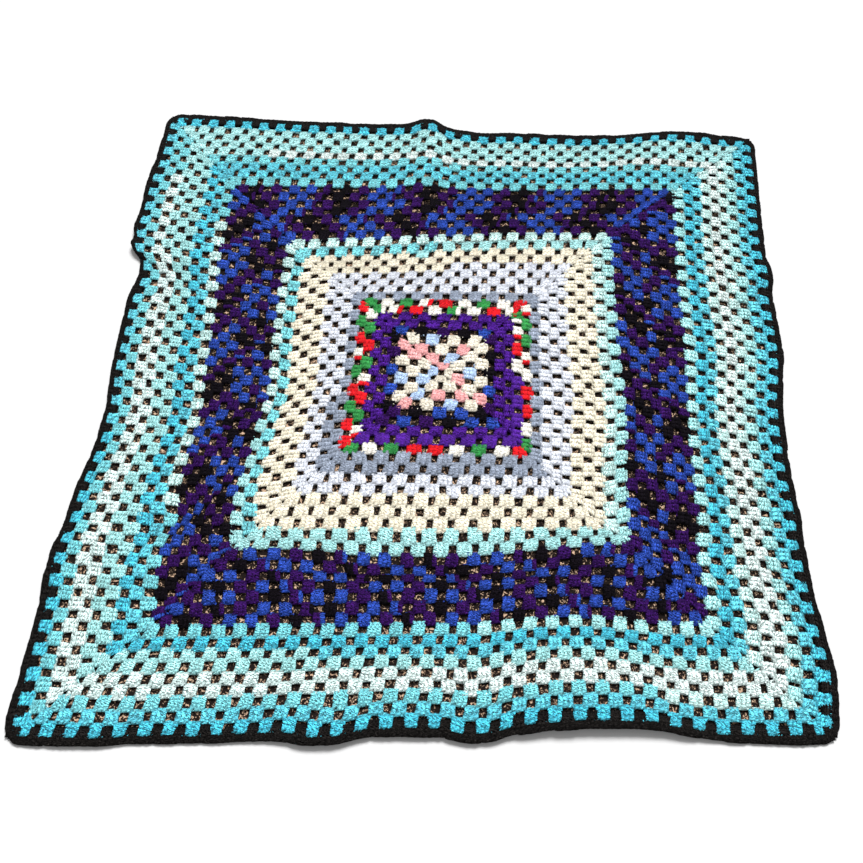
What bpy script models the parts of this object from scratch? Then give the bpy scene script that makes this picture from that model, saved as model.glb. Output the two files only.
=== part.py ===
"""Granny square blanket, laid out flat.

The blanket is crocheted in rounds from the middle out. Each side of round n holds n
clusters of three stitches, and every cluster sits over a space of the round before it,
so a round adds one row height all the way round. A new yarn is joined on every few
rounds, and each yarn's rounds are one solid here, from the centre motif to the edging.

Points are laid out first on an ideal square, where (u, v) counts rounds from the middle.
laid() then carries them to where the blanket lies: its corners pulled out of square, its
sides drawn in and out, and its edge lifted off the floor in a few places.
Metres, +Z up, the origin on the floor under the middle of the blanket's outline.
"""

import math

import bmesh
import bpy
from mathutils import Vector

ROW = 0.01525            # height of a round, and half the width of a cluster
THICKNESS = 0.005        # of the crocheted fabric
LAST_ROUND = 34          # the last round of clusters, inside the edging
RIM = 34.55              # outer edge of the edging, in rounds; its stitches are short ones
RIM_CORNER = 0.9         # radius of the blanket's corners, in rounds
NOTCH = 0.5              # depth of the dip between two clusters, in rounds
FLAT_TOP = 0.62          # half the flat top of a cluster, in rounds
GAP = 0.0005 / ROW       # between one yarn and the next, 0.3 mm square to a notch's side
RING_CENTRE = Vector((0, 0.024))   # where the first ring lies from the origin

# Where the corners of a round lie, from the first ring, in millimetres.
# round: back left, back right, front right, front left
CORNERS = {
    0: ((0, 0), (0, 0), (0, 0), (0, 0)),
    4: ((-71, 72), (72, 70), (72, -64), (-74, -66)),
    9: ((-138, 136), (141, 143), (142, -140), (-148, -146)),
    13: ((-193, 184), (199, 207), (201, -204), (-209, -216)),
    16: ((-240, 216), (246, 258), (249, -250), (-260, -275)),
    18: ((-270, 250), (278, 290), (283, -270), (-288, -306)),
    25: ((-381, 368), (391, 392), (382, -382), (-378, -422)),
    34: ((-514, 520), (534, 512), (530, -521), (-534, -572)),
    35: ((-529, 536), (547, 527), (545, -539), (-552, -589)),
}

# Where a side runs out of line. At and half length are along the side, from -1 to 1 and
# counted from the left or the front. Round is where it is widest, and reach how many
# rounds it takes to die away. Out and lift are in millimetres.
# side, at, half length, round, reach, out, lift
WAVES = (
    ("left", 0.62, 0.20, 35, 8, 9, 2),
    ("left", 0.50, 0.06, 35, 6, 4, 5),
    ("left", 0.44, 0.03, 35, 4, 10, 5),
    ("left", 0.38, 0.09, 35, 6, -11, 0),
    ("left", 0.02, 0.42, 35, 22, -10, 0),
    ("left", 0, 0.85, 35, 1.2, -6, 0),
    ("left", -0.16, 0.14, 35, 12, -10, 3),
    ("left", -0.56, 0.08, 35, 6, 5, 3),
    ("left", -0.75, 0.20, 21, 8, 8, 0),
    ("left", -0.60, 0.07, 25, 4, -11, 0),
    ("left", -0.04, 0.18, 17, 5, -6, 1),
    ("right", 0.50, 0.28, 35, 12, -7, 0),
    ("right", 0.42, 0.05, 35, 5, 5, 4),
    ("right", -0.20, 0.25, 35, 9, -18, 4),
    ("right", -0.55, 0.13, 35, 8, -9, 0),
    ("right", -0.86, 0.09, 35, 8, 7, 3),
    ("right", -0.75, 0.09, 25, 4, -7, 0),
    ("right", -0.20, 0.30, 15, 5, 7, 0),
    ("back", -0.45, 0.28, 35, 8, -7, 2),
    ("back", -0.105, 0.05, 35, 5, 9, 5),
    ("back", 0.05, 0.10, 35, 8, -9, 0),
    ("back", -0.15, 0.09, 26, 5, 7, 0),
    ("back", 0.32, 0.26, 35, 9, -15, 2),
    ("back", 0.77, 0.12, 35, 7, 7, 3),
    ("back", 0.20, 0.55, 16, 6, 5, 0),
    ("front", 0.43, 0.24, 35, 8, -18, 10),
    ("front", 0.14, 0.06, 35, 5, 6, 0),
    ("front", -0.24, 0.08, 35, 4, 11, 2),
    ("front", 0.52, 0.25, 25, 5, -8, 0),
    ("front", -0.12, 0.28, 35, 8, -9, 4),
    ("front", -0.83, 0.10, 35, 5, 4, 3),
    ("front", 0.05, 0.55, 18.5, 2.2, 14, 0),
)

# One solid for each yarn: its name, its first and last round, and its colour.
YARNS = (
    ("centre_motif", 1, 4, (0.90, 0.84, 0.78)),
    ("navy_round", 5, 5, (0.12, 0.10, 0.30)),
    ("purple_rounds", 6, 7, (0.27, 0.07, 0.58)),
    ("candy_rounds", 8, 9, (0.78, 0.32, 0.28)),
    ("grey_round", 10, 10, (0.50, 0.55, 0.64)),
    ("lilac_rounds", 11, 13, (0.76, 0.81, 0.92)),
    ("cream_rounds", 14, 16, (0.94, 0.90, 0.76)),
    ("mint_rounds", 17, 18, (0.60, 0.88, 0.90)),
    ("midnight_rounds", 19, 25, (0.12, 0.07, 0.28)),
    ("ocean_rounds", 26, LAST_ROUND, (0.38, 0.78, 0.86)),
    ("black_edging", 35, 35, (0.02, 0.02, 0.02)),
)
SCALLOPED = (18, 25, 34)     # rounds whose clusters stand out against the next yarn
ROUGHNESS = 0.95


def corner_places(ring):
    """The four corners of the square that lies this many rounds out, in millimetres."""
    rounds = sorted(CORNERS)
    after = next((n for n in rounds[1:] if n >= ring), rounds[-1])
    before = rounds[rounds.index(after) - 1]
    share = (ring - before) / (after - before)
    return [Vector(a).lerp(Vector(b), share) for a, b in zip(CORNERS[before], CORNERS[after])]


def swell(side, along, ring):
    """How far a side's waves move a point outwards and up, in millimetres."""
    out = lift = 0.0
    for wave_side, at, half_length, widest, reach, wave_out, wave_lift in WAVES:
        if wave_side == side:
            share = math.exp(-abs((along - at) / half_length) ** 3)
            share *= math.exp(-abs((ring - widest) / reach) ** 3)
            out += wave_out * share
            lift += wave_lift * share
    taper = 1 - along**8     # nothing moves on a diagonal, where two sides meet
    return out * taper, lift * taper


def laid(u, v):
    """Where the point (u, v) of the ideal square lies: x, y and the lift, in metres."""
    ring = max(abs(u), abs(v))
    if ring == 0:
        return Vector((RING_CENTRE.x, RING_CENTRE.y, 0))
    back_left, back_right, front_right, front_left = corner_places(ring)
    across, up = (u / ring + 1) / 2, (v / ring + 1) / 2
    back = back_left.lerp(back_right, across)
    front = front_left.lerp(front_right, across)
    place = front.lerp(back, up)
    if abs(u) > abs(v):
        outward = Vector((math.copysign(1, u), 0))
        out, lift = swell("right" if u > 0 else "left", v / ring, ring)
    else:
        outward = Vector((0, math.copysign(1, v)))
        out, lift = swell("back" if v > 0 else "front", u / ring, ring)
    place = (place + outward * out) / 1000 + RING_CENTRE
    return Vector((place.x, place.y, lift / 1000))


def four_sides(side_points):
    """The points of one side, written as (along, outward), carried round all four sides."""
    loop = []
    for turn in range(4):
        for along, out in side_points:
            u, v = along, -out
            for _ in range(turn):
                u, v = -v, u
            loop.append((u, v))
    return loop


def scalloped_loop(round_number, shift):
    """The edge of a round with a flat top on each cluster and a notch between two."""
    corner = round_number - 0.3 + shift
    side = [(-corner, corner)]
    for cluster in range(round_number):
        middle = 2 * cluster - round_number + 1
        if cluster:
            side.append((middle - 1, round_number - NOTCH + shift))
        side.append((middle - FLAT_TOP, round_number + shift))
        side.append((middle + FLAT_TOP, round_number + shift))
    return four_sides(side)


def plain_loop(ring, spaces):
    """A square loop, this many rounds out, with its sides in equal spaces."""
    return four_sides([(ring * (2 * i / spaces - 1), ring) for i in range(spaces)])


def rim_loop():
    """The blanket's outer edge, with its corners rounded."""
    straight = RIM - RIM_CORNER
    side = []
    for i in range(3):
        angle = math.radians(45 * (i - 2) / 3)
        side.append((-straight + RIM_CORNER * math.sin(angle), straight + RIM_CORNER * math.cos(angle)))
    side += [(straight * (2 * i / LAST_ROUND - 1), RIM) for i in range(LAST_ROUND + 1)]
    for i in range(1, 3):
        angle = math.radians(45 * i / 3)
        side.append((straight + RIM_CORNER * math.sin(angle), straight + RIM_CORNER * math.cos(angle)))
    return four_sides(side)


def edge_of(round_number, shift):
    """The loop where a yarn's last round ends, moved outwards by shift rounds."""
    if round_number > LAST_ROUND:
        return rim_loop()
    if round_number in SCALLOPED:
        return scalloped_loop(round_number, shift)
    return plain_loop(round_number + shift, max(4, round_number // 2))


def new_loop(bm, points):
    verts = [bm.verts.new((u, v, 0)) for u, v in points]
    return [bm.edges.new((a, b)) for a, b in zip(verts, verts[1:] + verts[:1])]


def fabric(name, first, last, colour):
    """The rounds of one yarn as a closed solid, as thick as the fabric."""
    bm = bmesh.new()
    rings = [] if first == 1 else [edge_of(first - 1, GAP)]
    # Loops between the two edges let the solid follow the lifts of the blanket's edge.
    rings += [plain_loop(n, n) for n in range(first + 2, last - 1, 3)]
    rings.append(edge_of(last, 0))
    loops = [new_loop(bm, points) for points in rings]
    if first == 1:
        bmesh.ops.triangle_fill(bm, edges=loops[0], use_beauty=True, normal=(0, 0, 1))
    for inner, outer in zip(loops, loops[1:]):
        bmesh.ops.triangle_fill(bm, edges=inner + outer, use_beauty=True, normal=(0, 0, 1))
    raised = bmesh.ops.extrude_face_region(bm, geom=bm.faces[:], use_keep_orig=True)
    top = [item for item in raised["geom"] if isinstance(item, bmesh.types.BMVert)]
    bmesh.ops.translate(bm, verts=top, vec=(0, 0, THICKNESS))
    for vert in bm.verts:
        place = laid(vert.co.x, vert.co.y)
        vert.co = (place.x, place.y, place.z + vert.co.z)
    bmesh.ops.recalc_face_normals(bm, faces=bm.faces[:])
    mesh = bpy.data.meshes.new(name)
    bm.to_mesh(mesh)
    bm.free()
    mesh.materials.append(yarn_material(name, colour))
    obj = bpy.data.objects.new(name, mesh)
    bpy.context.collection.objects.link(obj)
    return obj


def yarn_material(name, colour):
    material = bpy.data.materials.new(name)
    material.use_nodes = True
    shader = material.node_tree.nodes["Principled BSDF"]
    shader.inputs["Base Color"].default_value = (*colour, 1)
    shader.inputs["Roughness"].default_value = ROUGHNESS
    shader.inputs["Metallic"].default_value = 0
    return material


for old in list(bpy.data.objects):
    bpy.data.objects.remove(old, do_unlink=True)
for yarn in YARNS:
    fabric(*yarn)
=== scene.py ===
import math

import bpy
import numpy as np
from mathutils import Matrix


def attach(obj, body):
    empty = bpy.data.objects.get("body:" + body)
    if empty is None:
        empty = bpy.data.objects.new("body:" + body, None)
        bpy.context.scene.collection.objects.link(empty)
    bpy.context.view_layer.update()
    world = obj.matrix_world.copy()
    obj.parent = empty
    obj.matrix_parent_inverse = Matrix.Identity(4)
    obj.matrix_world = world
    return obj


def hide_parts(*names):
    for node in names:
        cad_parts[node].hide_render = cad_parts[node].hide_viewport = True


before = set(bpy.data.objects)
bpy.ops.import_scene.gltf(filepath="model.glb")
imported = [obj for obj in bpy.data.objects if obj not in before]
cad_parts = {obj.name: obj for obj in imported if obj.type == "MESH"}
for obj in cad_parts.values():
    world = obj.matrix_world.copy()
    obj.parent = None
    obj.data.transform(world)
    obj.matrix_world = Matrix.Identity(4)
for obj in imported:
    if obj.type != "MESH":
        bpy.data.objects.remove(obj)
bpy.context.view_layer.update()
bpy.ops.object.select_all(action="DESELECT")
print("blanket: frame loaded,", len(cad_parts), "nodes")

# How the blanket lies. Points are counted in rounds from the first ring, across and up.
lie = {
    "row": 0.01525,  # height of a round, in metres
    "firstRing": (0, 0.024),  # where the middle lies, in metres
    # round: back left, back right, front right and front left corner, in mm from the ring
    "corners": {
        0: ((0, 0), (0, 0), (0, 0), (0, 0)),
        4: ((-71, 72), (72, 70), (72, -64), (-74, -66)),
        9: ((-138, 136), (141, 143), (142, -140), (-148, -146)),
        13: ((-193, 184), (199, 207), (201, -204), (-209, -216)),
        16: ((-240, 216), (246, 258), (249, -250), (-260, -275)),
        18: ((-270, 250), (278, 290), (283, -270), (-288, -306)),
        25: ((-381, 368), (391, 392), (382, -382), (-378, -422)),
        34: ((-514, 520), (534, 512), (530, -521), (-534, -572)),
        35: ((-529, 536), (547, 527), (545, -539), (-552, -589)),
        36: ((-544, 552), (560, 542), (560, -557), (-570, -606)),
    },
    # where a side runs out of line: side, at, half length, round, reach, out mm, lift mm
    "waves": (
        ("left", 0.62, 0.20, 35, 8, 9, 2),
        ("left", 0.50, 0.06, 35, 6, 4, 5),
        ("left", 0.44, 0.03, 35, 4, 10, 5),
        ("left", 0.38, 0.09, 35, 6, -11, 0),
        ("left", 0.02, 0.42, 35, 22, -10, 0),
        ("left", 0, 0.85, 35, 1.2, -6, 0),
        ("left", -0.16, 0.14, 35, 12, -10, 3),
        ("left", -0.56, 0.08, 35, 6, 5, 3),
        ("left", -0.75, 0.20, 21, 8, 8, 0),
        ("left", -0.60, 0.07, 25, 4, -11, 0),
        ("left", -0.04, 0.18, 17, 5, -6, 1),
        ("right", 0.50, 0.28, 35, 12, -7, 0),
        ("right", 0.42, 0.05, 35, 5, 5, 4),
        ("right", -0.20, 0.25, 35, 9, -18, 4),
        ("right", -0.55, 0.13, 35, 8, -9, 0),
        ("right", -0.86, 0.09, 35, 8, 7, 3),
        ("right", -0.75, 0.09, 25, 4, -7, 0),
        ("right", -0.20, 0.30, 15, 5, 7, 0),
        ("back", -0.45, 0.28, 35, 8, -7, 2),
        ("back", -0.105, 0.05, 35, 5, 9, 5),
        ("back", 0.05, 0.10, 35, 8, -9, 0),
        ("back", -0.15, 0.09, 26, 5, 7, 0),
        ("back", 0.32, 0.26, 35, 9, -15, 2),
        ("back", 0.77, 0.12, 35, 7, 7, 3),
        ("back", 0.20, 0.55, 16, 6, 5, 0),
        ("front", 0.43, 0.24, 35, 8, -18, 10),
        ("front", 0.14, 0.06, 35, 5, 6, 0),
        ("front", -0.24, 0.08, 35, 4, 11, 2),
        ("front", 0.52, 0.25, 25, 5, -8, 0),
        ("front", -0.12, 0.28, 35, 8, -9, 4),
        ("front", -0.83, 0.10, 35, 5, 4, 3),
        ("front", 0.05, 0.55, 18.5, 2.2, 14, 0),
    ),
}
tiny = 1e-6  # keeps a division from zero


def layOut(u, v):
    # from rounds across and up to metres on the floor, and how far the underside lifts
    ring = np.maximum(np.maximum(np.abs(u), np.abs(v)), tiny)
    across, up = (u / ring + 1) / 2, (v / ring + 1) / 2
    rounds = sorted(lie["corners"])
    place = []
    for axis in (0, 1):
        backLeft, backRight, frontRight, frontLeft = (
            np.interp(ring, rounds, [lie["corners"][n][corner][axis] for n in rounds])
            for corner in range(4)
        )
        front = frontLeft + (frontRight - frontLeft) * across
        back = backLeft + (backRight - backLeft) * across
        place.append(front + (back - front) * up)
    sideways = np.abs(u) > np.abs(v)
    along = np.where(sideways, v, u) / ring
    where = {
        "right": sideways & (u > 0),
        "left": sideways & (u <= 0),
        "back": ~sideways & (v > 0),
        "front": ~sideways & (v <= 0),
    }
    out, lift = np.zeros_like(ring), np.zeros_like(ring)
    for side, at, halfLength, widest, reach, waveOut, waveLift in lie["waves"]:
        share = np.exp(-np.abs((along - at) / halfLength) ** 3)
        # nothing moves on a diagonal, where two sides meet
        share *= np.exp(-np.abs((ring - widest) / reach) ** 3) * (1 - along**8) * where[side]
        out += waveOut * share
        lift += waveLift * share
    x = place[0] + out * where["right"] - out * where["left"]
    y = place[1] + out * where["back"] - out * where["front"]
    return x / 1000 + lie["firstRing"][0], y / 1000 + lie["firstRing"][1], lift / 1000


def ringArea(ring, perSide=60):
    # the area inside a round, in square metres, from points along its four sides
    along = np.linspace(-ring, ring, perSide, endpoint=False)
    edge = np.full(perSide, ring)
    u = np.concatenate([along, edge, -along, -edge])
    v = np.concatenate([-edge, along, edge, -along])
    x, y, _ = layOut(u, v)
    return abs(float(np.sum(x * np.roll(y, -1) - y * np.roll(x, -1)))) / 2


# One length of twisted yarn, modelled once for the posts and once for the top loops.
postShape = {"sides": 6, "rings": 6, "turn": 0.85, "groove": 0.9, "ends": (0.9, 0.95)}
loopShape = {"sides": 6, "rings": 8, "turn": 1.75, "groove": 0.8, "ends": (0.9, 0.9)}
turnWay = -1  # with no window an operator turns clockwise
endPatch = {"radius": 0.04, "away": 0.44}  # where the ends lie on the yarn's map


def modelYarn(shape):
    # extruded ring by ring along +Y, each ring turned a little further, pinched between the plies
    bpy.ops.mesh.primitive_circle_add(
        vertices=shape["sides"], radius=1, fill_type="NGON", rotation=(math.pi / 2, 0, 0)
    )
    yarn = bpy.context.object
    bpy.ops.object.transform_apply(location=False, rotation=True, scale=False)
    for poly in yarn.data.polygons:
        poly.select = False
    for vert in yarn.data.vertices:
        vert.select = abs(vert.co.x) < 0.01  # the top and bottom corner, where the plies meet
    bpy.ops.object.mode_set(mode="EDIT")
    pinch, first, last = shape["groove"], *shape["ends"]
    bpy.ops.transform.resize(value=(pinch, 1, pinch), center_override=(0, 0, 0))
    bpy.ops.mesh.select_all(action="SELECT")
    bpy.ops.transform.resize(value=(first, 1, first), center_override=(0, 0, 0))
    step = 1 / shape["rings"]
    for ring in range(1, shape["rings"] + 1):
        bpy.ops.mesh.extrude_region_move(TRANSFORM_OT_translate={"value": (0, step, 0)})
        size = 1 / first if ring == 1 else last if ring == shape["rings"] else 1
        middle = (0, ring * step, 0)
        bpy.ops.transform.resize(value=(size, 1, size), center_override=middle)
        bpy.ops.transform.rotate(
            value=2 * math.pi * shape["turn"] * step, orient_axis="Y", center_override=middle
        )
    bpy.ops.mesh.select_all(action="SELECT")
    bpy.ops.mesh.normals_make_consistent(inside=False)
    bpy.ops.object.mode_set(mode="OBJECT")
    points = np.array([vert.co[:] for vert in yarn.data.vertices])
    faces = [list(poly.vertices) for poly in yarn.data.polygons]
    places = [mapFace(points[face], shape) for face in faces]
    bpy.data.objects.remove(yarn)
    return points, faces, places


def mapFace(corners, shape):
    # where a face's corners lie on the yarn's map: across is round the yarn, up is along it
    turned = np.arctan2(corners[:, 2], corners[:, 0])
    turned = turned - 2 * math.pi * shape["turn"] * corners[:, 1] * turnWay
    slot = np.rint(turned * shape["sides"] / (2 * math.pi)) % shape["sides"]
    if len(corners) == 4:
        slot = np.where((slot == 0) & (slot.max() > 1), shape["sides"], slot)  # past the seam
        return np.stack([slot / shape["sides"], corners[:, 1]], 1)
    angle = slot / shape["sides"] * 2 * math.pi  # an end takes a small patch of its own
    spot = 0.5 + endPatch["radius"] * np.stack([np.cos(angle), np.sin(angle)], 1)
    spot[:, 1] += endPatch["away"] * (1 if corners[0, 1] > 0.5 else -1)
    return spot


postYarn, loopYarn = modelYarn(postShape), modelYarn(loopShape)
print("blanket: post and loop modelled,", len(postYarn[1]), "and", len(loopYarn[1]), "faces")

# A cluster is three posts worked into one space, with a loop along their tops.
# Widths and reaches are in rounds, heights and thicknesses in metres.
cluster = {
    "base": -1.16,  # from the top, so the posts reach over the round before
    "joined": 0.1,  # how much further a new yarn's first round reaches
    "baseSpread": 0.36,  # from the middle post to an outer one
    "baseHalf": 0.29,  # half a post's width
    "topSpread": 0.37,
    "topHalf": 0.30,
    "flare": 0.12,  # how much wider both ends are than the middle
    "fuller": (1, 1.08, 1.06, 1),  # how wide they lie on the front, right, back and left side
    "top": 0,  # how far the tops lie from the round's outer edge
    "topsOut": (-0.036, 0.06, -0.036),  # how far out each post's top lies from that
    "lean": 0.03,  # of the tops, clockwise
    "cornerLean": 0.14,  # away from a corner, at the top
    "cornerBase": 0.34,  # away from a corner, at the base
    "cornerNarrow": 0.85,  # how wide the base is there
    "turnCorner": 0,  # radius of the corners
    "heightAt": (0, 0.28, 0.6, 1),  # places along a post, and how high its middle is there
    "height": (0.0029, 0.0031, 0.0030, 0.0029),
    "halfThick": 0.0015,
    "loopHalf": 0.15,
    "loopThick": 0.0017,
    "loopHeight": 0.0026,
    "loopIn": 0.04,  # how far the loop lies in from the tops
    "loopDip": 0.04,  # how much further it dips between two clusters
    "loopSink": 0.0006,  # and how much lower it lies there
    "loopRise": 0.0005,  # over each stitch
    "loopCut": 0.2,  # how far it stops short of a corner
    # how each cluster differs from the next
    "uneven": 0.08,
    "endsUneven": 1.2,  # times as uneven at a post's ends and in its spread
    "cornerUneven": 0.3,  # how much of the tops' own shift is left at a corner
    "tilt": 0.00012,
    "lumps": 0.015,
    "lumpHeight": 0.012,  # metres up for each round of lump
    # two slow drifts along a round: how far, and their pace along it and from round to round
    "drift": ((0.05, 0.9, 1.7), (0.04, 0.37, -2.1)),
    "seed": 7,
}
# the single cluster on each side of the first round
firstRound = {"narrow": 0.62, "base": 0.28, "link": 0.72, "loopCut": 0.28}


def clustersOf(first, last):
    # side, round and place along the side for every cluster of these rounds
    rows = [
        (side, n, 2 * i - n + 1)
        for n in range(first, last + 1)
        for side in range(4)
        for i in range(n)
    ]
    return np.array(rows, float)


def turnToSide(side, along, out):
    # side 0 is the front, and the others follow anticlockwise
    u = np.select([side == 0, side == 1, side == 2], [along, out, -along], -out)
    v = np.select([side == 0, side == 1, side == 2], [-out, along, out], -along)
    return u, v


def roundOff(along, out, rim, radius):
    # a square corner drawn into an arc
    straight = rim - radius
    pastAlong = np.maximum(np.abs(along) - straight, 0)
    pastOut = np.maximum(out - straight, 0)
    share = np.maximum(pastAlong, pastOut) / np.maximum(np.hypot(pastAlong, pastOut), tiny)
    share = np.where((pastAlong > 0) & (pastOut > 0), share, 1)
    along = np.where(pastAlong > 0, np.sign(along) * (straight + pastAlong * share), along)
    return along, np.where(pastOut > 0, straight + pastOut * share, out)


def workClusters(rows, shape):
    # the points of the three posts and the loop of these clusters: (cluster, point, xyz) for each
    chance = np.random.RandomState(shape["seed"] + int(rows[0, 1]))
    side, n, middle = (rows[:, i][:, None] for i in range(3))
    count = len(rows)

    def uneven(size=1.0):
        return np.clip(chance.normal(0, 0.5, (count, 1)), -1, 1) * shape["uneven"] * size

    single = n == 1
    leftEnd, rightEnd = middle <= -(n - 1), middle >= n - 1
    corner = np.where(rightEnd, 1.0, 0.0) - np.where(leftEnd, 1.0, 0.0)
    corner = np.where(single, 0.0, corner)
    (drift, pace, roundPace), (slowDrift, slowPace, slowRoundPace) = shape["drift"]
    wander = drift * np.sin(middle * pace + n * roundPace + side)
    wander = wander + slowDrift * np.sin(middle * slowPace + n * slowRoundPace)
    baseMiddle = middle - corner * shape["cornerBase"] + uneven() + wander
    topMiddle = middle - corner * shape["cornerLean"] + uneven() + wander
    steady = np.where(corner == 0, 1, shape["cornerUneven"])
    topMiddle = topMiddle - shape["lean"] + uneven() * steady
    narrow = np.where(corner == 0, 1.0, shape["cornerNarrow"])
    narrow = np.where(single, firstRound["narrow"], narrow)
    fuller = np.array(shape["fuller"])[side.astype(int)]
    baseSpread = shape["baseSpread"] * narrow * fuller
    topSpread = shape["topSpread"] * fuller * (1 + uneven(shape["endsUneven"]))
    baseHalf = shape["baseHalf"] * (0.5 + narrow / 2) * fuller
    topHalf = shape["topHalf"] * fuller
    rim = n + shape["top"]
    top = rim + uneven(shape["endsUneven"])
    reach = shape["base"] - shape["joined"] * (n == rows[0, 1])
    base = np.where(single, firstRound["base"], n + reach) + uneven(shape["endsUneven"])

    strands = []
    x, y, z = (postYarn[0][None, :, axis] for axis in range(3))
    smooth = y * y * (3 - 2 * y)
    height = np.interp(y, shape["heightAt"], shape["height"])
    flare = shape["flare"] * (2 * y - 1) ** 4
    for which, topOut in zip((-1, 0, 1), shape["topsOut"]):
        start, end = baseMiddle + which * baseSpread, topMiddle + which * topSpread
        half = baseHalf + (topHalf - baseHalf) * smooth
        along = start + (end - start) * smooth + which * flare + x * half
        out = base + (top + topOut - base) * y
        tilt = chance.normal(0, shape["tilt"], (count, 1))
        lumps = chance.normal(0, shape["lumps"], (3, *along.shape))
        up = height + tilt + z * shape["halfThick"] + shape["lumpHeight"] * lumps[2]
        strands.append((along + lumps[0], out + lumps[1], up))

    x, y, z = (loopYarn[0][None, :, axis] for axis in range(3))
    link = np.where(single, firstRound["link"], 1.0)  # half way to the next cluster
    cut = np.where(single, firstRound["loopCut"], shape["loopCut"])
    start = np.where(leftEnd, cut - rim, middle - link)
    end = np.where(rightEnd, rim - cut, middle + link)
    along = start + (end - start) * y
    away = along - topMiddle
    between = np.clip(np.abs(away) - 0.5, 0, 1) / 0.5  # 0 over the stitches, 1 half way to the next
    atCorner = leftEnd & (away < 0) | rightEnd & (away > 0)
    dip = np.where(atCorner, cut + shape["loopDip"] / 2, shape["loopDip"])
    out = top - shape["loopIn"] - dip * between**1.5 + x * shape["loopHalf"]
    rise = shape["loopRise"] * np.cos(away / shape["topSpread"] * 2 * math.pi)
    up = shape["loopHeight"] - shape["loopSink"] * between + rise + z * shape["loopThick"]
    strands.append((along, out, up))

    laid = []
    for along, out, up in strands:
        if shape["turnCorner"]:
            along, out = roundOff(along, out, rim, shape["turnCorner"])
        u, v = turnToSide(side, along, out)
        x, y, lift = layOut(u, v)
        laid.append(np.stack([x, y, up + lift], -1))
    return laid


tileMargin = 0.03  # kept free round each tile of a map


def sewMesh(name, laid, yarns, tints, palette):
    # one mesh from all strands; tints has a palette number for each cluster and strand
    tiles = math.ceil(math.sqrt(len(palette)))
    colours = np.array([[*linear(colour), 1.0] for colour in palette])
    points, loops, sizes, places, paint, start = [], [], [], [], [], 0
    for strand, (_, yarnFaces, yarnPlaces) in enumerate(yarns):
        count, perStrand = laid[strand].shape[:2]
        points.append(laid[strand].reshape(-1, 3))
        paint.append(np.repeat(colours[tints[:, strand]], perStrand, 0))
        faces = np.concatenate([np.array(face) for face in yarnFaces])
        offsets = start + np.arange(count)[:, None] * perStrand
        loops.append((faces[None] + offsets).ravel())
        sizes.append(np.tile([len(face) for face in yarnFaces], count))
        local = tileMargin + (1 - 2 * tileMargin) * np.concatenate(yarnPlaces)[None]
        tile = np.stack([tints[:, strand] % tiles, tints[:, strand] // tiles], -1)[:, None]
        places.append(((tile + local) / tiles).reshape(-1, 2))
        start += count * perStrand
    points, loops, sizes, places, paint = (
        np.concatenate(parts) for parts in (points, loops, sizes, places, paint)
    )
    mesh = bpy.data.meshes.new(name)
    mesh.vertices.add(len(points))
    mesh.vertices.foreach_set("co", points.ravel())
    mesh.loops.add(len(loops))
    mesh.loops.foreach_set("vertex_index", loops)
    mesh.polygons.add(len(sizes))
    mesh.polygons.foreach_set("loop_start", np.concatenate([[0], np.cumsum(sizes)[:-1]]))
    mesh.polygons.foreach_set("use_smooth", sizes == 4)  # the ends stay crisp
    mesh.update(calc_edges=True)
    mesh.uv_layers.new(name="OFBake").data.foreach_set("uv", places.ravel())
    painted = mesh.color_attributes.new("yarnColour", "FLOAT_COLOR", "POINT")
    painted.data.foreach_set("color", paint.ravel())
    piece = bpy.data.objects.new(name, mesh)
    bpy.context.collection.objects.link(piece)
    return piece, tiles


def linear(colour):
    # from a colour as it looks to the light that it gives back
    return [c / 12.92 if c <= 0.04045 else ((c + 0.055) / 1.055) ** 2.4 for c in colour]


# Finishes. Fleck darkens the grain: painted shade between fibres and the yarn's own mottling.
# Glint lightens it: painted highlights and lighter fibres. PlyShade and groove are painted shade.
paleYarn = {
    "fleck": 0.75, "glint": 1.45, "plies": 6, "plyShade": 0.05, "groove": 0.06, "bump": 1.0,
    "sheen": 0.5, "shine": 0.15, "soft": 0.4,
}
smoothYarn = paleYarn | {"fleck": 0.45, "glint": 1.35}
darkYarn = paleYarn | {"fleck": 0.85, "glint": 1.5, "sheen": 0.01, "shine": 0.05, "soft": 0}
blackYarn = darkYarn | {"fleck": 0.95, "glint": 3.6, "sheen": 0}
grain = {
    "scale": 2.2, "detail": 1.0, "rough": 0.6, "from": (0.40, 0.60),
    "stretch": (4.4, 4, 1.37),  # round the yarn, along it, and from tile to tile
    "tileStep": 7,  # from one row of tiles to the next
    "grooveEdge": 4,  # the higher, the narrower the groove between two plies
    "thinPlies": 3,  # counted round the yarn
    "relief": 0.001, "plyRelief": 0.35,
    "roughness": (0.75, 1.0), "sheenRoughness": 0.45, "softReach": 0.0015,
}


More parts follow.
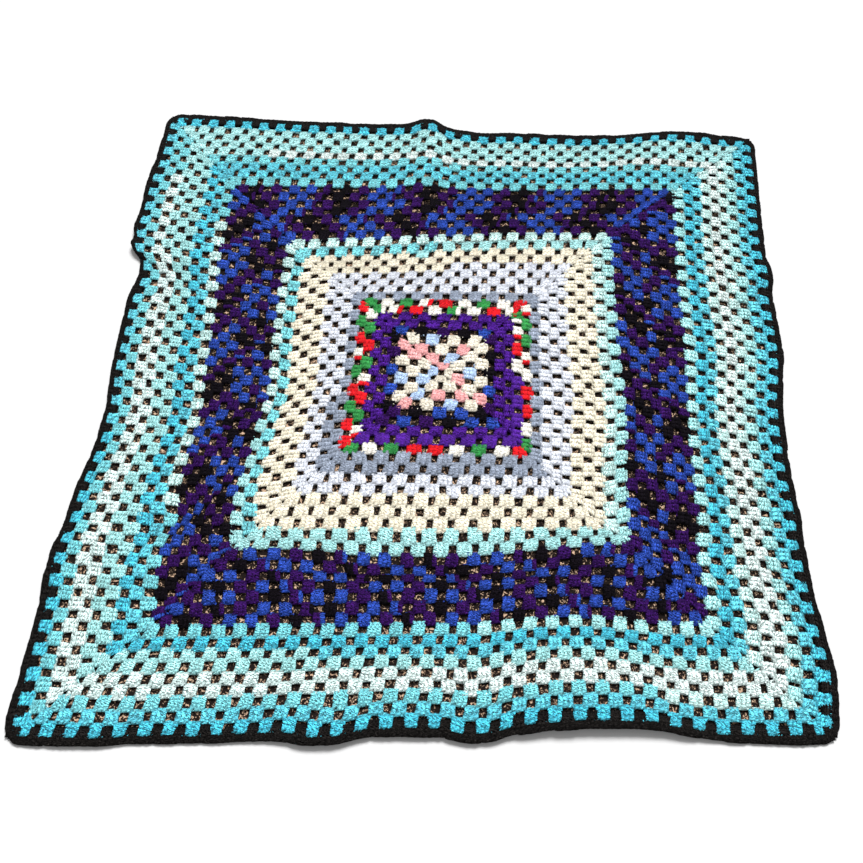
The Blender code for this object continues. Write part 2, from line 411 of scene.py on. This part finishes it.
def yarnMaterial(name, look, tiles):
    # twisted, flecked yarn; every tile of the map is one length of yarn with a grain of its own
    # its colour holds painted shade and painted highlights as well as the yarn's own tones
    material = bpy.data.materials.new(name)
    material.use_nodes = True
    nodes, links = material.node_tree.nodes, material.node_tree.links
    shader = nodes["Principled BSDF"]

    def maths(operation, a, b=0):
        node = nodes.new("ShaderNodeMath")
        node.operation = operation
        for socket, value in zip(node.inputs, (a, b)):
            if hasattr(value, "links"):
                links.new(value, socket)
            else:
                socket.default_value = value
        return node.outputs[0]

    def wave(operation, value, turns):
        return maths(operation, maths("MULTIPLY", value, turns * 2 * math.pi))

    tint = nodes.new("ShaderNodeAttribute")
    tint.attribute_name = "yarnColour"
    uv = nodes.new("ShaderNodeUVMap")
    uv.uv_map = "OFBake"
    apart = nodes.new("ShaderNodeSeparateXYZ")
    links.new(uv.outputs[0], apart.inputs[0])
    column = maths("MULTIPLY", apart.outputs[0], tiles)
    row = maths("MULTIPLY", apart.outputs[1], tiles)
    around, along = maths("FRACT", column), maths("FRACT", row)

    # the two grooves between the plies lie at a quarter and three quarters of the way round
    # the colour darkens there as painted shade, and the bump sinks there
    groove = wave("COSINE", maths("SUBTRACT", around, 0.25), 2)
    groove = maths("POWER", maths("MAXIMUM", groove, 0), grain["grooveEdge"])
    # thinner plies twist round both
    # half of each twist darkens the colour as painted shade
    twist = maths("MULTIPLY", around, grain["thinPlies"])
    twist = maths("ADD", twist, maths("MULTIPLY", along, look["plies"]))
    ply = wave("SINE", twist, 1)

    tile = maths("MULTIPLY", maths("FLOOR", row), grain["tileStep"])
    tile = maths("ADD", maths("FLOOR", column), tile)
    spot = nodes.new("ShaderNodeCombineXYZ")
    for value, stretch, socket in zip((around, along, tile), grain["stretch"], spot.inputs):
        links.new(maths("MULTIPLY", value, stretch), socket)
    fibres = nodes.new("ShaderNodeTexNoise")
    fibres.inputs["Scale"].default_value = grain["scale"]
    fibres.inputs["Detail"].default_value = grain["detail"]
    fibres.inputs["Roughness"].default_value = grain["rough"]
    links.new(spot.outputs[0], fibres.inputs["Vector"])

    # fleck: painted shade between fibres and mottling; glint: painted highlights and lighter fibres
    shade = nodes.new("ShaderNodeMapRange")
    shade.inputs["From Min"].default_value = grain["from"][0]
    shade.inputs["From Max"].default_value = grain["from"][1]
    shade.inputs["To Min"].default_value = 1 - look["fleck"]
    shade.inputs["To Max"].default_value = look["glint"]
    links.new(fibres.outputs["Fac"], shade.inputs["Value"])
    # painted shade on the ply twists and in the grooves, taken off the grain
    plyShade = maths("MULTIPLY", maths("MAXIMUM", ply, 0), look["plyShade"])
    total = maths("SUBTRACT", shade.outputs[0], plyShade)
    total = maths("SUBTRACT", total, maths("MULTIPLY", groove, look["groove"]))
    mixed = nodes.new("ShaderNodeVectorMath")
    mixed.operation = "SCALE"
    links.new(tint.outputs["Color"], mixed.inputs[0])
    links.new(total, mixed.inputs["Scale"])
    links.new(mixed.outputs[0], shader.inputs["Base Color"])

    rough = nodes.new("ShaderNodeMapRange")
    rough.inputs["To Min"].default_value = grain["roughness"][0]
    rough.inputs["To Max"].default_value = grain["roughness"][1]
    links.new(fibres.outputs["Fac"], rough.inputs["Value"])
    links.new(rough.outputs[0], shader.inputs["Roughness"])

    relief = maths("ADD", maths("MULTIPLY", ply, -grain["plyRelief"]), fibres.outputs["Fac"])
    bump = nodes.new("ShaderNodeBump")
    bump.inputs["Strength"].default_value = look["bump"]
    bump.inputs["Distance"].default_value = grain["relief"]
    links.new(maths("SUBTRACT", relief, groove), bump.inputs["Height"])
    links.new(bump.outputs[0], shader.inputs["Normal"])

    links.new(tint.outputs["Color"], shader.inputs["Sheen Tint"])
    shader.inputs["Sheen Weight"].default_value = look["sheen"]
    shader.inputs["Sheen Roughness"].default_value = grain["sheenRoughness"]
    shader.inputs["Specular IOR Level"].default_value = look["shine"]
    shader.inputs["Subsurface Weight"].default_value = look["soft"]
    shader.inputs["Subsurface Radius"].default_value = (1, 1, 1)
    shader.inputs["Subsurface Scale"].default_value = grain["softReach"]
    return material


# Yarn colours as they look, red green and blue from 0 to 1.
yarnColours = {
    "cream": (0.98, 0.94, 0.86),
    "pink": (0.99, 0.68, 0.68),
    "paleBlue": (0.72, 0.82, 0.98),
    "blue": (0.18, 0.30, 0.68),
    "plum": (0.21, 0.075, 0.35),
    "black": (0.06, 0.043, 0.07),
    "purple": (0.30, 0.12, 0.55),
    "violet": (0.32, 0.12, 0.58),
    "red": (0.92, 0.10, 0.14),
    "green": (0.20, 0.56, 0.28),
    "white": (0.99, 0.97, 0.92),
    "grey": (0.58, 0.62, 0.69),
    "lilac": (0.90, 0.92, 0.97),
    "warmCream": (0.99, 0.95, 0.85),
    "mint": (0.70, 0.95, 0.95),
    "lightMint": (0.81, 0.98, 0.96),
    "palestMint": (0.865, 0.978, 0.962),
    "nearWhite": (0.895, 0.982, 0.967),
    "aqua": (0.51, 0.87, 0.91),
    "paleAqua": (0.68, 0.94, 0.94),
    "turquoise": (0.30, 0.76, 0.86),
    "midTurquoise": (0.40, 0.81, 0.89),
    "edging": (0.062, 0.056, 0.053),
}
depths = (1.0, 0.98, 0.96, 0.94, 0.92, 0.9)  # each stitch takes one of these

# Which yarn each cluster has. Sides read from the left, or from the back.
wholeRounds = {
    7: "purple", 10: "grey", 11: "lilac", 12: "lilac", 13: "lilac",
    14: "warmCream", 15: "warmCream", 16: "warmCream", 17: "mint", 18: "mint",
    26: "paleAqua", 27: "turquoise", 28: "midTurquoise", 29: "paleAqua", 30: "nearWhite",
    31: "nearWhite", 32: "aqua", 33: "midTurquoise", 34: "turquoise", 35: "edging",
}
# where a side differs from its round: side, first and last round, from and to along it, yarn
changes = (
    ("front", 11, 11, 0, 1, "grey"),
    ("left", 11, 11, 0.6, 1, "grey"),
    ("back", 14, 14, 0.48, 1, "lilac"),
    ("back", 16, 16, 0.36, 0.42, "mint"),
    ("left", 17, 17, 0, 1, "aqua"),
    ("back", 17, 17, 0, 0.45, "aqua"),
    ("right", 17, 17, 0, 1, "lightMint"),
    ("left", 18, 18, 0, 0.6, "lightMint"),
    ("back", 18, 18, 0, 1, "lightMint"),
    ("front", 26, 26, 0, 0.58, "aqua"),
    ("back", 26, 26, 0, 1, "aqua"),
    ("left", 26, 26, 0, 0.12, "aqua"),
    ("left", 26, 26, 0.12, 0.76, "lightMint"),
    ("left", 26, 26, 0.76, 1, "aqua"),
    ("left", 27, 27, 0, 1, "midTurquoise"),
    ("back", 27, 28, 0, 1, "midTurquoise"),
    ("left", 28, 28, 0, 1, "turquoise"),
    ("front", 28, 28, 0, 0.32, "paleAqua"),
    ("right", 29, 29, 0, 1, "lightMint"),
    ("back", 29, 29, 0, 1, "aqua"),
    ("left", 30, 30, 0, 1, "paleAqua"),
    ("back", 30, 30, 0, 0.13, "mint"),
    ("front", 30, 31, 0, 0.45, "palestMint"),
    ("left", 31, 31, 0, 0.26, "mint"),
    ("left", 31, 31, 0.26, 1, "palestMint"),
    ("right", 31, 31, 0, 0.6, "lightMint"),
    ("back", 31, 33, 0, 1, "mint"),
    ("left", 32, 32, 0.1, 1, "palestMint"),
    ("right", 32, 32, 0, 1, "paleAqua"),
    ("front", 32, 32, 0.8, 1, "lightMint"),
    ("left", 33, 33, 0, 1, "aqua"),
    ("left", 34, 34, 0, 0.6, "midTurquoise"),
)
# rounds charted cluster by cluster, each side's clusters as letters
chartSides = ("back", "right", "front", "left")
letters = {
    "c": "cream", "p": "pink", "b": "paleBlue", "B": "blue", "P": "plum", "k": "black",
    "u": "purple", "v": "violet", "r": "red", "g": "green", "w": "white",
}
charts = {
    1: ("p", "c", "c", "b"),
    2: ("pb", "cp", "cc", "cb"),
    3: ("pcp", "cbc", "bpp", "pcc"),
    4: ("cbcc", "cccp", "pcbc", "pcbc"),
    5: ("BkPkB", "PkkBP", "PkBBk", "kPBBk"),
    6: ("uuuuuu", "uuuuuu", "PBPkBB", "uuuuuu"),
    8: ("gwrwgwrw", "gwrwvvvv", "vvvvvvvv", "wgrgwrgw"),
    9: ("gwgwrwgwr", "wggwwrrwg", "gwgrrwgwr", "rgrwgrgrr"),
}
# the midnight yarn's run of clusters, and where it starts on each side of a round
run = ("blue", "blue", "plum", "black", "plum")
runStarts = {
    19: (4, 1, 1, 4), 20: (4, 3, 3, 3), 21: (4, 4, 0, 0), 22: (1, 3, 3, 0), 23: (2, 1, 1, 3),
    24: (2, 1, 4, 4), 25: (3, 2, 3, 0),
}


def yarnOf(side, n, spot):
    # the colours of one cluster's three stitches, spot counted from the left or the back
    order = chartSides.index(side)
    if n in charts:
        name = letters[charts[n][order][spot]]
        if name == "white" and (spot + n) % 3 == 0:  # the short runs change inside a cluster
            return [name, name, "red"]
        if name == "green" and (spot + n) % 4 == 0:
            return [name, name, "white"]
        return [name] * 3
    if n in runStarts:
        place = (spot - runStarts[n][order]) % len(run)
        three = [run[place]] * 3
        if (spot * 3 + n + order) % 4 == 0:  # now and then a colour ends inside a cluster
            three[2] = run[(place + 1) % len(run)]
        return three
    name = wholeRounds[n]
    for where, first, last, start, end, other in changes:
        if where == side and first <= n <= last and start <= (spot + 0.5) / n <= end:
            name = other
    return [name] * 3


def chooseYarns(rows, seed):
    # a palette of yarn and depth, and the number in it for each cluster's strands
    chance = np.random.RandomState(seed)
    sideNames = ("front", "right", "back", "left")
    palette, tints = [], np.zeros((len(rows), 4), int)
    for i, (side, n, middle) in enumerate(rows):
        turned = side in (1, 2)  # these two are worked from the front or the right
        spot = int(min((n - 1 - middle if turned else n - 1 + middle) / 2, n - 1))
        three = yarnOf(sideNames[int(side)], int(n), spot)
        if turned:
            three = three[::-1]
        for strand, colour in enumerate([*three, three[1]]):
            choice = (colour, chance.randint(len(depths)))
            if choice not in palette:
                palette.append(choice)
            tints[i, strand] = palette.index(choice)
    colours = [[c * depths[depth] for c in yarnColours[colour]] for colour, depth in palette]
    return colours, tints


def makePiece(name, settings):
    # one band of rounds: its stitches, yarns and finish, hung from the root, with its part of the
    # frame hidden
    node, slot, (first, last) = settings["node"], settings["slot"], settings["rounds"]
    rows = clustersOf(first, last)
    if settings.get("between"):  # one cluster between every two of the whole round
        rows = np.concatenate([rows[rows[:, 0] == side][:-1] + (0, 0, 1) for side in range(4)])
    laid = workClusters(rows, cluster | settings["shape"])
    colours, tints = chooseYarns(rows, first)
    piece, tiles = sewMesh(name, laid, [postYarn] * 3 + [loopYarn], tints, colours)
    piece.data.materials.append(yarnMaterial(slot.replace("_", " "), settings["look"], tiles))
    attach(piece, "root")
    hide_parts(node)
    # the band worked flat, as a strip as long as the blanket is round there
    width = (last - first + 1) * lie["row"]
    length = (ringArea(last) - ringArea(first - 1)) / width
    print("blanket:", name, len(rows), "clusters,", len(piece.data.polygons), "faces")


# The bands, from the middle out. Shape gives what differs from the cluster above.
slim = {
    "baseSpread": 0.32, "baseHalf": 0.28, "topSpread": 0.36, "topHalf": 0.29,
    "fuller": (1, 1.08, 1, 1),
}
wide = {
    "baseSpread": 0.40, "baseHalf": 0.32, "topSpread": 0.42, "topHalf": 0.32,
    "fuller": (1, 1.08, 1, 1),
}
inDips = {
    "top": -0.45, "base": -1.65, "baseSpread": 0.24, "baseHalf": 0.24, "topSpread": 0.42,
    "topHalf": 0.32, "topsOut": (-0.018, 0.03, -0.018), "cornerLean": 0, "cornerBase": 0,
    "cornerNarrow": 1, "turnCorner": 1.7, "height": (0.0032, 0.0034, 0.0032, 0.0030),
    "loopHalf": 0.17, "loopThick": 0.0021, "lumps": 0.012,
}
overTops = inDips | {
    "base": -0.96, "joined": 0, "baseSpread": 0.36, "baseHalf": 0.28, "flare": 0, "lean": 0,
    "seed": 9,
}


bands = {
    "centreStitches": {
        "node": "centre_motif", "slot": "centre_yarn", "rounds": (1, 4),
        "shape": slim, "look": smoothYarn,
    },
    "navyStitches": {
        "node": "navy_round", "slot": "navy_yarn", "rounds": (5, 5),
        "shape": slim, "look": darkYarn,
    },
    "purpleStitches": {
        "node": "purple_rounds", "slot": "purple_yarn", "rounds": (6, 7),
        "shape": {}, "look": darkYarn,
    },
    "candyStitches": {
        "node": "candy_rounds", "slot": "candy_yarn", "rounds": (8, 9),
        "shape": wide, "look": smoothYarn,
    },
    "greyStitches": {
        "node": "grey_round", "slot": "grey_yarn", "rounds": (10, 10),
        "shape": wide, "look": smoothYarn,
    },
    "lilacStitches": {
        "node": "lilac_rounds", "slot": "lilac_yarn", "rounds": (11, 13),
        "shape": wide, "look": smoothYarn,
    },
    "creamStitches": {
        "node": "cream_rounds", "slot": "cream_yarn", "rounds": (14, 16),
        "shape": wide, "look": smoothYarn,
    },
    "mintStitches": {
        "node": "mint_rounds", "slot": "mint_yarn", "rounds": (17, 18),
        "shape": wide, "look": paleYarn,
    },
    "midnightInner": {
        "node": "midnight_rounds", "slot": "midnight_yarn", "rounds": (19, 22),
        "shape": slim, "look": darkYarn,
    },
    "midnightOuter": {
        "node": "midnight_rounds", "slot": "midnight_yarn", "rounds": (23, 25),
        "shape": slim, "look": darkYarn,
    },
    "oceanInner": {
        "node": "ocean_rounds", "slot": "ocean_yarn", "rounds": (26, 28),
        "shape": {}, "look": paleYarn,
    },
    "oceanMiddle": {
        "node": "ocean_rounds", "slot": "ocean_yarn", "rounds": (29, 31),
        "shape": {}, "look": paleYarn,
    },
    "oceanOuter": {
        "node": "ocean_rounds", "slot": "ocean_yarn", "rounds": (32, 34),
        "shape": {}, "look": paleYarn,
    },
    "edgingInDips": {
        "node": "black_edging", "slot": "black_yarn", "rounds": (35, 35),
        "shape": inDips, "look": blackYarn,
    },
    "edgingOverTops": {
        "node": "black_edging", "slot": "black_yarn", "rounds": (35, 35),
        "shape": overTops, "look": blackYarn, "between": True,
    },
}
for name, settings in bands.items():
    makePiece(name, settings)

# Floor, and the dark flecked cloth that shows through the blanket, its dark partly painted shade in
# the gaps
floorSettings = {"size": 8.0, "height": -0.0004, "colour": (0.52, 0.52, 0.52), "roughness": 0.9}
shadeUnderlaySettings = {
    "half": 34.1,  # in rounds
    "squares": 70,
    "below": 0.0002,
    "scale": 210, "detail": 2, "distortion": 1.5,
    "dark": (0.57, (0.011, 0.008, 0.007, 1)),  # noise up to this is dark: the cloth's dark and painted shade in the gaps
    "fleck": (0.63, (0.46, 0.31, 0.21, 1)),  # and from this it is a fleck
}


def plainMaterial(name, roughness):
    material = bpy.data.materials.new(name)
    material.use_nodes = True
    shader = material.node_tree.nodes["Principled BSDF"]
    shader.inputs["Roughness"].default_value = roughness
    return material, shader


def makeFloor():
    bpy.ops.object.select_all(action="DESELECT")
    place = (0, 0, floorSettings["height"])
    bpy.ops.mesh.primitive_plane_add(size=floorSettings["size"], location=place)
    floor = bpy.context.object
    floor.name = "floor"
    material, shader = plainMaterial("pale floor", floorSettings["roughness"])
    shader.inputs["Base Color"].default_value = (*floorSettings["colour"], 1)
    floor.data.materials.append(material)
    return floor


def makeShadeUnderlay():
    # a grid laid out in rounds, so that it follows the blanket's lifts
    squares = shadeUnderlaySettings["squares"]
    bpy.ops.mesh.primitive_grid_add(
        x_subdivisions=squares, y_subdivisions=squares, size=2 * shadeUnderlaySettings["half"]
    )
    shadeUnderlay = bpy.context.object
    shadeUnderlay.name = "shadeUnderlay"
    flat = np.array([vert.co[:] for vert in shadeUnderlay.data.vertices])
    x, y, lift = layOut(flat[:, 0], flat[:, 1])
    points = np.stack([x, y, lift - shadeUnderlaySettings["below"]], 1)
    shadeUnderlay.data.vertices.foreach_set("co", points.ravel())
    # a dark colour that is partly painted shade in the blanket's gaps
    material, shader = plainMaterial("dark underlay", 1.0)
    nodes, links = material.node_tree.nodes, material.node_tree.links
    noise = nodes.new("ShaderNodeTexNoise")
    noise.inputs["Scale"].default_value = shadeUnderlaySettings["scale"]
    noise.inputs["Detail"].default_value = shadeUnderlaySettings["detail"]
    noise.inputs["Distortion"].default_value = shadeUnderlaySettings["distortion"]
    where = nodes.new("ShaderNodeTexCoord")
    links.new(where.outputs["Object"], noise.inputs["Vector"])
    ramp = nodes.new("ShaderNodeValToRGB")
    for element, key in zip(ramp.color_ramp.elements, ("dark", "fleck")):
        element.position, element.color = shadeUnderlaySettings[key]
    links.new(noise.outputs["Fac"], ramp.inputs["Fac"])
    links.new(ramp.outputs["Color"], shader.inputs["Base Color"])
    shader.inputs["Specular IOR Level"].default_value = 0
    shadeUnderlay.data.materials.append(material)
    return shadeUnderlay


floor, shadeUnderlay = makeFloor(), makeShadeUnderlay()
print("blanket: floor and underlay laid")

# Light: an even white room, and one soft sun from behind on the right
light = {
    "room": 0.58, "sun": 5.8, "sunWidth": 24,
    "sunPlace": (0.75, 1.75, 1.75), "sunTurn": (-0.66, 0.22, 0),
}
world = bpy.data.worlds.new("studio")
bpy.context.scene.world = world
world.use_nodes = True
background = world.node_tree.nodes["Background"]
background.inputs["Color"].default_value = (1, 1, 1, 1)
background.inputs["Strength"].default_value = light["room"]
bpy.ops.object.light_add(type="SUN", location=light["sunPlace"], rotation=light["sunTurn"])
sun = bpy.context.object
sun.data.energy = light["sun"]
sun.data.angle = math.radians(light["sunWidth"])
bpy.context.scene.view_settings.view_transform = "Standard"

# Camera, held over the front edge
view = {"lens": 38.8, "sensor": 36, "tilt": 27.4, "yaw": 2.7, "place": (0.0205, -0.7263, 1.252)}
turn = (math.radians(view["tilt"]), 0, math.radians(view["yaw"]))
bpy.ops.object.camera_add(location=view["place"], rotation=turn)
camera = bpy.context.object
camera.data.lens = view["lens"]
camera.data.sensor_width = view["sensor"]
bpy.context.scene.camera = camera
print("blanket: light and camera set")
